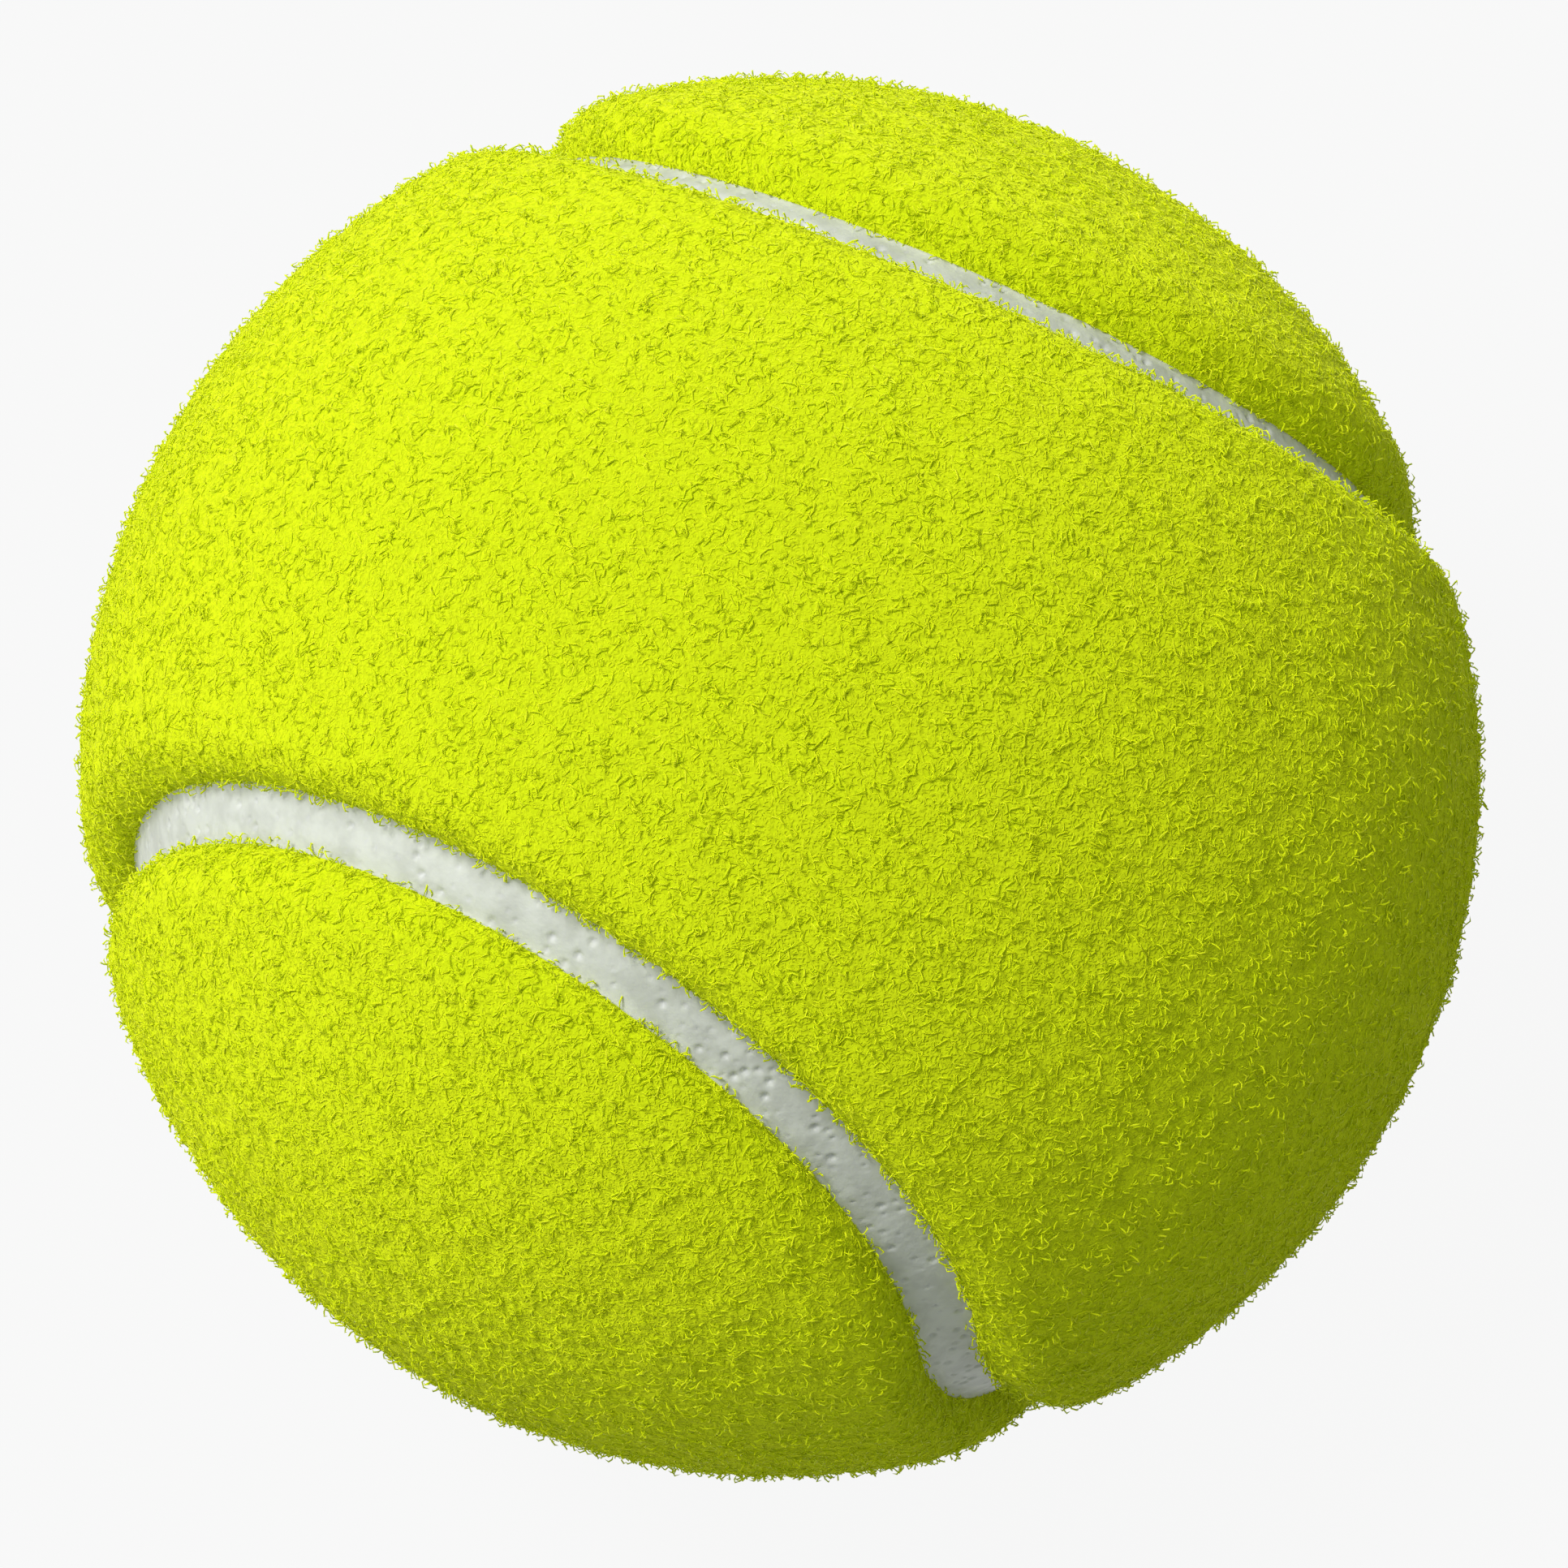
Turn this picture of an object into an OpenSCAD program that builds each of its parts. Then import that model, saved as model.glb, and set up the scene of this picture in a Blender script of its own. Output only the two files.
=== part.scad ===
// Tennis ball: a hollow rubber core in two half shells, covered by two equal
// dumbbell panels of felt that meet along one closed seam of rubber.
// The centre of the ball is the origin. The four arcs of the seam turn about axes
// that lean by lobe_lean from the equator, so the ball looks the same when it is
// turned a quarter turn about Z and flipped over.

/* [Ball] */
// Diameter of the ball over the nap of the felt
ball_d = 66.8; // [60:0.1:72]

/* [Core] */
// Thickness of the rubber wall of the core
core_wall = 3.3; // [2.8:0.1:3.8]
// Thickness of the cement between the two half shells
joint_t = 0.2; // [0.1:0.05:0.4]
// Depth of the bevel inside each rim that holds the bead of cement
rim_bevel = 0.7; // [0.4:0.1:1]
// Thickness of the cement coat that holds the felt on the core
coat_t = 0.2; // [0.1:0.05:0.3]

/* [Felt] */
// Thickness of the rubber backing under the woven cloth
backing_t = 0.25; // [0.15:0.05:0.4]
// Thickness of the woven base cloth that carries the nap
cloth_t = 0.75; // [0.5:0.05:1]
// Height of the nap over the base cloth
nap_t = 2.1; // [1.6:0.1:2.6]
// Radius of the rounded nap along a panel's edge
edge_r = 2.9; // [2.4:0.1:3.2]

/* [Seam] */
// Lean of each lobe's axis from the equator, in degrees
lobe_lean = 10.6; // [6:0.1:14]
// Width of the gap between the two panels that the seam rubber fills
seam_w = 2.9; // [2:0.1:4]
// Thickness of the seam rubber over the cement coat
seam_t = 0.6; // [0.4:0.05:0.9]

/* [Hidden] */

// Facets of a full turn, for the balls, for the seam's arcs and for the nap's edge
ball_fn = 144;
sweep_fn = 144;
edge_fn = 48;

// Outer radii of the layers, from the nap inwards to the hollow
ball_r = ball_d / 2;
cloth_r = ball_r - nap_t;
backing_r = cloth_r - cloth_t;
coat_r = backing_r - backing_t;
core_r = coat_r - coat_t;
hollow_r = core_r - core_wall;
seam_r = coat_r + seam_t;

// Angle between a lobe's axis and the seam, at which neighbouring arcs just touch
lobe_angle = acos(cos(lobe_lean) / sqrt(2));

// The round edge stands out of the ball by this share of its radius, so that it
// crosses the ball's surface at a shallow angle
proud_share = 0.01;
edge_centre_r = ball_r - edge_r * (1 - proud_share);
edge_x = seam_w / 2 + edge_r;
edge_y = sqrt(pow(edge_centre_r, 2) - pow(edge_x, 2));

// Cuts run past the solids that they cut by this much
overrun = edge_r / 2;
cut_r = ball_r + overrun;

// Cross-section of a layer of the ball, above a level
module layer_section(inner, outer, level) {
    intersection() {
        difference() {
            circle(outer, $fn = ball_fn);
            circle(inner, $fn = ball_fn);
        }
        translate([0, level])
            square([outer, outer - level]);
    }
}

// Half of a layer, above the equator
module upper_layer(inner, outer) {
    rotate([0, 0, 90])
        rotate_extrude($fn = ball_fn)
            layer_section(inner, outer, 0);
}

// Takes what is drawn for panel A, whose lobes lie on X, to the place of a panel
module at_panel(panel) {
    rotate(panel == "a" ? [0, 0, 0] : [180, 0, 90])
        children();
}

// Puts its children, which lie about +Z, on the axes of panel A's two lobes
module at_lobes() {
    for (half_turn = [0, 180])
        rotate([0, 0, half_turn])
            rotate([0, 90 + lobe_lean, 0])
                children();
}

// Cross-section of the gap between the two panels, with the seam's line along +Y.
// The sides are upright at the bottom and round off into the nap at the top.
module gap_section() {
    difference() {
        translate([-edge_x, edge_y])
            square([2 * edge_x, cut_r - edge_y]);
        for (side = [-1, 1])
            translate([side * edge_x, edge_y])
                circle(edge_r, $fn = edge_fn);
    }
    translate([-seam_w / 2, hollow_r])
        square([seam_w, edge_y - hollow_r]);
}

// Rings of the gap round panel A's two lobes. The seam follows them below the equator.
module lobe_gaps() {
    at_lobes()
        rotate_extrude($fn = sweep_fn)
            rotate(-lobe_angle)
                gap_section();
}

// Cones from the middle of the ball through the seam's arcs, round panel A's lobes
module lobe_cones() {
    near = hollow_r / 2;
    at_lobes()
        translate([0, 0, near])
            cylinder(cut_r - near, near * tan(lobe_angle), cut_r * tan(lobe_angle), $fn = sweep_fn);
}

// Panel A's share of a layer of felt: its waist above the equator, between the
// lobes of panel B, and its own two lobes below
module panel_layer(inner, outer) {
    difference() {
        upper_layer(inner, outer);
        at_panel("b") {
            lobe_cones();
            lobe_gaps();
        }
    }
    difference() {
        intersection() {
            mirror([0, 0, 1])
                upper_layer(inner, outer);
            lobe_cones();
        }
        lobe_gaps();
    }
}

// Cross-section of a half shell of the core, with its rim on the joint's cement and
// a bevel inside the rim
module half_shell_section() {
    rim_z = joint_t / 2;
    difference() {
        layer_section(hollow_r, core_r, rim_z);
        polygon([
            [0, 0],
            [hollow_r + rim_bevel, 0],
            [hollow_r + rim_bevel, rim_z],
            [hollow_r, rim_z + rim_bevel],
            [0, rim_z + rim_bevel]
        ]);
    }
}

module half_shell() {
    rotate_extrude($fn = ball_fn)
        half_shell_section();
}

module upper_half_shell() {
    color([0.24, 0.22, 0.21])
        half_shell();
}

module lower_half_shell() {
    color([0.24, 0.22, 0.21])
        rotate([180, 0, 0])
            half_shell();
}

// Ring of cement between the two rims, with the bead that fills their bevels
module shell_joint_cement() {
    color([0.72, 0.62, 0.44])
        rotate_extrude($fn = ball_fn)
            intersection() {
                circle(core_r, $fn = ball_fn);
                union() {
                    translate([hollow_r + rim_bevel, -joint_t / 2])
                        square([core_wall, joint_t]);
                    polygon([
                        [hollow_r, -joint_t / 2 - rim_bevel],
                        [hollow_r + rim_bevel, -joint_t / 2],
                        [hollow_r + rim_bevel, joint_t / 2],
                        [hollow_r, joint_t / 2 + rim_bevel]
                    ]);
                }
            }
}

module core_cement_coat() {
    color([0.55, 0.47, 0.33])
        rotate_extrude($fn = ball_fn)
            layer_section(core_r, coat_r, -coat_r);
}

module panel_a_backing() {
    color([0.86, 0.84, 0.74])
        panel_layer(coat_r, backing_r);
}

module panel_b_backing() {
    color([0.86, 0.84, 0.74])
        at_panel("b")
            panel_layer(coat_r, backing_r);
}

module panel_a_base_cloth() {
    color([0.80, 0.86, 0.30])
        panel_layer(backing_r, cloth_r);
}

module panel_b_base_cloth() {
    color([0.80, 0.86, 0.30])
        at_panel("b")
            panel_layer(backing_r, cloth_r);
}

module panel_a_nap() {
    color([0.82, 0.98, 0.05])
        panel_layer(cloth_r, ball_r);
}

module panel_b_nap() {
    color([0.82, 0.98, 0.05])
        at_panel("b")
            panel_layer(cloth_r, ball_r);
}

// Band of rubber in the bottom of the gap, against the edges of both panels
module seam_rubber() {
    color([0.88, 0.88, 0.86])
        for (panel = ["a", "b"])
            at_panel(panel)
                intersection() {
                    mirror([0, 0, 1])
                        upper_layer(coat_r, seam_r);
                    lobe_gaps();
                }
}

upper_half_shell();
lower_half_shell();
shell_joint_cement();
core_cement_coat();
panel_a_backing();
panel_b_backing();
panel_a_base_cloth();
panel_b_base_cloth();
panel_a_nap();
panel_b_nap();
seam_rubber();
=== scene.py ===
"""Tennis ball: the felt's curly nap, the pitted seam rubber and the finishes of the
pieces inside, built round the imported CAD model, with a stage to show it on."""

import math

import bpy
import numpy as np
from mathutils import Matrix, Vector


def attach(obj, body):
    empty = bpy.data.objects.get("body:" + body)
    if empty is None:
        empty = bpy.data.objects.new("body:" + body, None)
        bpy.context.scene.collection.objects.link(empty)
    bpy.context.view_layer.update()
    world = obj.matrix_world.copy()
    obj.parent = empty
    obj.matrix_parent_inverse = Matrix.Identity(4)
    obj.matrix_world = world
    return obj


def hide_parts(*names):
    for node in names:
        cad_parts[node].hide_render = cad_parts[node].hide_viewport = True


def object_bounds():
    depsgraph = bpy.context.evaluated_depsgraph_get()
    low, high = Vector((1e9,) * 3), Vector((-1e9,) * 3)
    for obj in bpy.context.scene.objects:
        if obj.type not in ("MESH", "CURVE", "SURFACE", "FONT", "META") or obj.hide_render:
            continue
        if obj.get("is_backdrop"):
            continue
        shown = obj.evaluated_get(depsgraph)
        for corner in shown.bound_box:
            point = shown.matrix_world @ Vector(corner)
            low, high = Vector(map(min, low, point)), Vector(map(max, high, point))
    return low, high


bl_info = {
    "name": "Tennis Ball",
    "version": (1, 0, 0),
    "blender": (4, 5, 0),
    "location": "3D View > Sidebar > Tennis Ball",
    "description": "Dresses a tennis ball with felt, fibres and seam rubber",
    "category": "Add Mesh",
}

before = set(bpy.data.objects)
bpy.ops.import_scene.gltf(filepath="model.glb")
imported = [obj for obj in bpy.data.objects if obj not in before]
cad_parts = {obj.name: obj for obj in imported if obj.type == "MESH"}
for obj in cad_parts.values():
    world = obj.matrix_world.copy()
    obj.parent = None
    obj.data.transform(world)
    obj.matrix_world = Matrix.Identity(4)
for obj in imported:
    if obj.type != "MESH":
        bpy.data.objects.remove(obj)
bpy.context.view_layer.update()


def reach(node):
    """Distances of a CAD node's nearest and farthest corner from the ball's centre."""
    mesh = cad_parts[node].data
    corners = np.empty(len(mesh.vertices) * 3)
    mesh.vertices.foreach_get("co", corners)
    distances = np.linalg.norm(corners.reshape(-1, 3), axis=1)
    return float(distances.min()), float(distances.max())


BALL_R = reach("panel_a_nap")[1]
CLOTH_R = reach("panel_a_base_cloth")[1]
SEAM_FLOOR_R, SEAM_TOP_R = reach("seam_rubber")

# Panel B is panel A turned over about X and then by a quarter turn about Z
TO_PANEL_B = Matrix.Rotation(math.pi / 2, 4, "Z") @ Matrix.Rotation(math.pi, 4, "X")


# ---- Properties ----


def length(name, description, default):
    """A size in metres, shown in the scene's unit."""
    return bpy.props.FloatProperty(
        name=name, description=description, default=default, unit="LENGTH", precision=5
    )


def number(name, description, default):
    return bpy.props.FloatProperty(name=name, description=description, default=default)


def angle(name, description, degrees):
    return bpy.props.FloatProperty(
        name=name, description=description, default=math.radians(degrees), unit="ROTATION"
    )


def count(name, description, default):
    return bpy.props.IntProperty(name=name, description=description, default=default)


def colour(name, description, default):
    return bpy.props.FloatVectorProperty(
        name=name, description=description, default=default, size=3, subtype="COLOR"
    )


class SeamSizes(bpy.types.PropertyGroup):
    """Where the seam runs, and the rubber in it."""

    lobe_lean: angle("Lobe lean", "Lean of each lobe's axis from the equator", 10.6)
    gap: length("Gap", "Width of the gap between the two panels", 0.0029)
    arc_steps: count("Arc steps", "Steps along each of the seam's four arcs", 680)
    fillet: length("Fillet", "How far the rubber rises along the felt", 0.00012)
    wave: length("Wave", "Height of the slow waves in the rubber", 0.00007)
    pit_spacing: length("Pit spacing", "Least distance between two pits", 0.00048)
    pit_width: length("Pit width", "Diameter of the largest pits", 0.00052)
    pit_depth: length("Pit depth", "Depth of the largest pits", 0.0002)
    pit_seed: count("Pit seed", "Seed of the places of the pits", 4)


class FeltSizes(bpy.types.PropertyGroup):
    """The matted body of the nap."""

    arc_steps: count("Arc steps", "Steps along each of the panel's four arcs", 240)
    edge_rows: count("Edge rows", "Rows of faces over the rounded edge", 15)
    field_rows: count("Field rows", "Rows of faces from the edge to the middle", 46)
    depth: length("Depth", "How far the body lies under the ball's surface", 0.0002)
    edge_width: length("Edge width", "Width of the rounded edge", 0.0034)
    lip: length("Lip", "How far the body stands into the gap at its foot", 0.00004)
    lump_size: length("Lump size", "Distance between the broad lumps", 0.003)
    lump_height: length("Lump height", "Height of the broad lumps", 0.00022)
    tuft_size: length("Tuft size", "Distance between the tufts", 0.0008)
    tuft_height: length("Tuft height", "Height of the tufts", 0.00032)
    flat_width: length("Flat width", "Width of a panel before it is laid", 0.049)
    flat_length: length("Flat length", "Length of a panel before it is laid", 0.150)
    flat_area: number("Flat area", "Area of a panel in square metres before it is laid", 0.0054)


class FibreSizes(bpy.types.PropertyGroup):
    """The curly fibres of the nap."""

    density: number("Density", "Fibres of one tone on a square metre", 1.48e6)
    points: count("Points", "Points along a fibre", 4)
    length: length("Length", "Length of the longest fibres", 0.0013)
    width: length("Width", "Diameter of the thickest fibres", 0.000095)
    curl: number("Curl", "Most that a fibre turns along its length, in radians", 3.8)
    wobble: length("Wobble", "How far a fibre strays from its arc", 0.00009)
    rise: length("Rise", "How far the highest fibres arch out", 0.00021)
    sink: length("Sink", "How far the fibres dip under the body", 0.00006)
    standing: number("Standing", "Share of the fibres that stand up instead of lying", 0.3)
    stand: length("Stand", "How far the tips of the standing fibres reach", 0.0008)
    edge_crowd: number("Edge crowd", "How many times more fibres grow at a panel's edge", 1.3)
    edge_reach: number("Edge reach", "How much farther they stand there, as a share", 0.2)
    seed: count("Seed", "Seed of the first tone's places", 11)


class FinishColours(bpy.types.PropertyGroup):
    """Colours of the visible pieces."""

    felt: colour("Felt", "Matted body of the nap", (0.83, 0.93, 0.008))
    # Painted shade: the nap between the strands, coloured darker as if shaded by them
    felt_shade_between_strands: colour("Felt, deep", "Nap between the strands", (0.8, 0.91, 0.005))
    # Painted shade: small holes in the nap, coloured darker as if in shade
    felt_pore_shade: colour("Felt, pore", "Small dark holes in the nap", (0.66, 0.76, 0.004))
    fibre_1: colour("Fibres 1", "First tone of the fibres", (0.86, 0.94, 0.008))
    fibre_2: colour("Fibres 2", "Second tone of the fibres", (0.84, 0.93, 0.007))
    fibre_3: colour("Fibres 3", "Third and palest tone of the fibres", (0.89, 0.95, 0.018))
    fibre_4: colour("Fibres 4", "Fourth and deepest tone of the fibres", (0.82, 0.92, 0.006))
    fibre_5: colour("Fibres 5", "Fifth tone of the fibres", (0.87, 0.94, 0.008))
    rubber: colour("Seam rubber", "Pale rubber in the seam", (0.77, 0.775, 0.76))
    rubber_shade: colour("Seam rubber, shade", "Clouds in the pale rubber", (0.66, 0.665, 0.645))


class StageSettings(bpy.types.PropertyGroup):
    """The camera, the floor and the lights."""

    distance: length("Distance", "From the ball's centre to the camera", 0.33066)
    lens: number("Lens", "Focal length in millimetres", 158.77)
    floor_size: length("Floor size", "Width of the floor", 8.0)
    background: number("Background", "Brightness of the background to the camera", 0.943)
    ambient: number("Ambient", "Strength of the light from all round", 0.31)
    lamp_distance: length("Lamp distance", "From the ball's centre to each lamp", 0.9)
    lamp_size: length("Lamp size", "Width of each lamp", 0.28)
    key: number("Key", "Power of the light over the ball in watts", 5.35)
    back: number("Back", "Power of the low light behind the ball in watts", 3.5)
    side: number("Side", "Power of the low light beside the ball in watts", 1.55)


# ---- Nodes ----

# How the nodes are laid out in the editor
NODE_WIDTH, NODE_HEIGHT = 190, 240
NODES_IN_ROW = 12


def add_node(tree, kind, inputs=None, **settings):
    """Adds a node, sets its options and fills its inputs with values or links."""
    node = tree.nodes.new(kind)
    place = len(tree.nodes)
    row, column = divmod(place, NODES_IN_ROW)
    node.location = (NODE_WIDTH * column, -NODE_HEIGHT * row)
    for name, value in settings.items():
        setattr(node, name, value)
    for name, value in (inputs or {}).items():
        if isinstance(value, bpy.types.NodeSocket):
            tree.links.new(value, node.inputs[name])
        else:
            node.inputs[name].default_value = value
    return node


def maths(tree, operation, *values):
    """Output of a Math node."""
    node = add_node(tree, "ShaderNodeMath", dict(enumerate(values)), operation=operation)
    return node.outputs[0]


def vectors(tree, operation, *values):
    """Vector output of a Vector Math node."""
    node = add_node(tree, "ShaderNodeVectorMath", dict(enumerate(values)), operation=operation)
    return node.outputs["Vector"]


def scaled(tree, vector, factor):
    """A vector times a number."""
    node = add_node(
        tree, "ShaderNodeVectorMath", {"Vector": vector, "Scale": factor}, operation="SCALE"
    )
    return node.outputs["Vector"]


def ramp(tree, value, low, high, to_low=0.0, to_high=1.0):
    """Value taken smoothly from the range low to high to another range."""
    node = add_node(
        tree,
        "ShaderNodeMapRange",
        {"Value": value, 1: low, 2: high, 3: to_low, 4: to_high},
        interpolation_type="SMOOTHSTEP",
    )
    return node.outputs["Result"]


# ---- Meshes ----


def arc_points(axis, toward, across, spread, turns):
    """Points of a circle of the seam about an axis, for turns round that axis."""
    ring = np.outer(np.cos(turns), toward) + np.outer(np.sin(turns), across)
    return math.cos(spread) * axis + math.sin(spread) * ring


def seam_line(lean, steps):
    """The seam as panel A's edge. Gives unit points, the unit directions from them into
    the panel, and the angles from there to the panel's middle line."""
    c, s = math.cos(lean), math.sin(lean)
    spread = math.acos(c / math.sqrt(2))
    end = math.acos(-s / math.sqrt(2) / math.sin(spread))
    falling = end * (1 - 2 * np.arange(steps) / steps)
    x, y = np.array([1.0, 0, 0]), np.array([0, 1.0, 0])
    arcs = [
        (np.array([0, c, s]), np.array([0, -s, c]), x, falling, -1),
        (np.array([-c, 0, -s]), np.array([s, 0, -c]), y, falling, 1),
        (np.array([0, -c, s]), np.array([0, s, c]), x, -falling, -1),
        (np.array([c, 0, -s]), np.array([-s, 0, -c]), y, -falling, 1),
    ]
    points, inwards, depths = [], [], []
    for axis, toward, across, turns, side in arcs:
        ring = arc_points(axis, toward, across, spread, turns)
        points.append(ring)
        inwards.append(side * (axis - ring * math.cos(spread)) / math.sin(spread))
        to_middle = np.arctan2(c, s * np.cos(turns)) - spread
        depths.append(to_middle if side < 0 else np.full(steps, spread))
    return np.concatenate(points), np.concatenate(inwards), np.concatenate(depths)


def over_ball(points, inwards, angles, radii):
    """Places at angles from the seam, towards panel A, at radii from the centre."""
    directions = (
        np.cos(angles)[..., None] * points[:, None] + np.sin(angles)[..., None] * inwards[:, None]
    )
    return directions * radii[..., None]


def new_piece(name, corners, faces):
    """A mesh object from numpy corners and lists of faces."""
    mesh = bpy.data.meshes.new(name)
    mesh.from_pydata(corners, [], faces)
    mesh.shade_smooth()
    piece = bpy.data.objects.new(name, mesh)
    bpy.context.scene.collection.objects.link(piece)
    return piece


def mark(mesh, name, values, domain):
    """Stores one number for each point or face of a mesh."""
    layer = mesh.attributes.new(name, "FLOAT", domain)
    layer.data.foreach_set("value", np.ascontiguousarray(values, np.float32).ravel())


def settle(piece, tree, values):
    """Runs a Geometry Nodes tree on a piece and gives the plain mesh that comes out."""
    modifier = piece.modifiers.new(tree.name, "NODES")
    modifier.node_group = tree
    for item in tree.interface.items_tree:
        if item.in_out == "INPUT" and item.name in values:
            modifier[item.identifier] = values[item.name]
    graph = bpy.context.evaluated_depsgraph_get()
    mesh = bpy.data.meshes.new_from_object(piece.evaluated_get(graph))
    piece.modifiers.remove(modifier)
    return mesh


def drop_marks(mesh):
    """Removes the numbers that only the making of a mesh needed."""
    kept = {"position", "material_index", "sharp_face", "sharp_edge"}
    names = [layer.name for layer in mesh.attributes]
    for name in names:
        if name not in kept and not name.startswith("."):
            mesh.attributes.remove(mesh.attributes[name])


def turned_copy(piece, name):
    """A copy of one of panel A's pieces, at panel B's place."""
    mesh = piece.data.copy()
    mesh.name = name
    mesh.transform(TO_PANEL_B)
    copy = bpy.data.objects.new(name, mesh)
    bpy.context.scene.collection.objects.link(copy)
    return copy


def new_tree(name, sizes):
    """A Geometry Nodes tree with a geometry input, named sizes and a geometry output."""
    tree = bpy.data.node_groups.new(name, "GeometryNodeTree")
    kinds = {"Seed": "NodeSocketInt", "Points": "NodeSocketInt", "Finish": "NodeSocketMaterial"}
    tree.interface.new_socket("Geometry", in_out="INPUT", socket_type="NodeSocketGeometry")
    for size in sizes:
        kind = kinds.get(size, "NodeSocketFloat")
        tree.interface.new_socket(size, in_out="INPUT", socket_type=kind)
    tree.interface.new_socket("Geometry", in_out="OUTPUT", socket_type="NodeSocketGeometry")
    return tree, add_node(tree, "NodeGroupInput").outputs


def close_tree(tree, geometry, finish):
    """Ends a tree in Realize Instances and Set Material."""
    real = add_node(tree, "GeometryNodeRealizeInstances", {"Geometry": geometry})
    done = add_node(
        tree, "GeometryNodeSetMaterial", {"Geometry": real.outputs[0], "Material": finish}
    )
    add_node(tree, "NodeGroupOutput", {0: done.outputs[0]})


def enabled(sockets, name):
    """The socket of a name that the node's data type leaves in use."""
    return next(socket for socket in sockets if socket.name == name and socket.enabled)


def attribute(tree, name, data_type="FLOAT"):
    node = add_node(tree, "GeometryNodeInputNamedAttribute", {"Name": name}, data_type=data_type)
    return node.outputs["Attribute"]


def stored(tree, geometry, name, value, data_type="FLOAT"):
    """Geometry with a value stored on its points under a name."""
    node = add_node(
        tree,
        "GeometryNodeStoreNamedAttribute",
        {"Geometry": geometry, "Name": name},
        data_type=data_type,
        domain="POINT",
    )
    tree.links.new(value, enabled(node.inputs, "Value"))
    return node.outputs[0]


def lump_tree():
    """Raises broad lumps and small tufts on the matted body of the nap."""
    names = ["Lump Size", "Lump Height", "Tuft Size", "Tuft Height", "Finish"]
    tree, size = new_tree("Nap lumps", names)
    place = add_node(tree, "GeometryNodeInputPosition").outputs[0]
    heights = []
    for kind in ("Lump", "Tuft"):
        scale = maths(tree, "DIVIDE", 1.0, size[kind + " Size"])
        noise = add_node(
            tree, "ShaderNodeTexNoise", {"Vector": place, "Scale": scale, "Detail": 1.0}
        )
        centred = maths(tree, "SUBTRACT", noise.outputs[0], 0.5)
        heights.append(maths(tree, "MULTIPLY", centred, size[kind + " Height"]))
    height = maths(tree, "MULTIPLY", maths(tree, "ADD", *heights), attribute(tree, "nap"))
    normal = add_node(tree, "GeometryNodeInputNormal").outputs[0]
    moved = add_node(
        tree,
        "GeometryNodeSetPosition",
        {"Geometry": size["Geometry"], "Offset": scaled(tree, normal, height)},
    )
    close_tree(tree, moved.outputs[0], size["Finish"])
    return tree


def random_value(tree, seed, low, high, data_type="FLOAT"):
    """A random value between low and high for each point, always the same for a seed."""
    node = add_node(tree, "FunctionNodeRandomValue", {"Seed": seed}, data_type=data_type)
    for name, value in (("Min", low), ("Max", high)):
        socket = enabled(node.inputs, name)
        if isinstance(value, bpy.types.NodeSocket):
            tree.links.new(value, socket)
        else:
            socket.default_value = value
    return enabled(node.outputs, "Value")


# How fibres differ from one another. Least lengths, rises and girths are shares of the
# greatest, and a higher bias keeps more of them low.
LEAST_CURL = 1.2
LEAST_LENGTH = 0.5
LEAST_RISE = 0.3
LOW_BIAS = 1.6
LEAST_GIRTH = 0.55
LEAST_WAVES, MOST_WAVES = 2.2, 6.5
# Standing fibres: how many more there are at the edge, how much less they reach along
# the body, how far they bend over in radians, and the girth at which one has no height
MORE_STAND_AT_EDGE = 0.15
STANDING_PULL = 0.45
STANDING_BEND = 2.2
FLAT_GIRTH = 0.2
# Lying fibres: how full their arch is, and its height where their wave is lowest
ARCH_FULLNESS = 0.6
LEAST_ARCH = 0.4
# How late a fibre tapers towards its ends, as a power, and the distance within which
# the points at its tips are joined
TAPER = 6.0
TIP_JOIN = 1e-7


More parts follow.
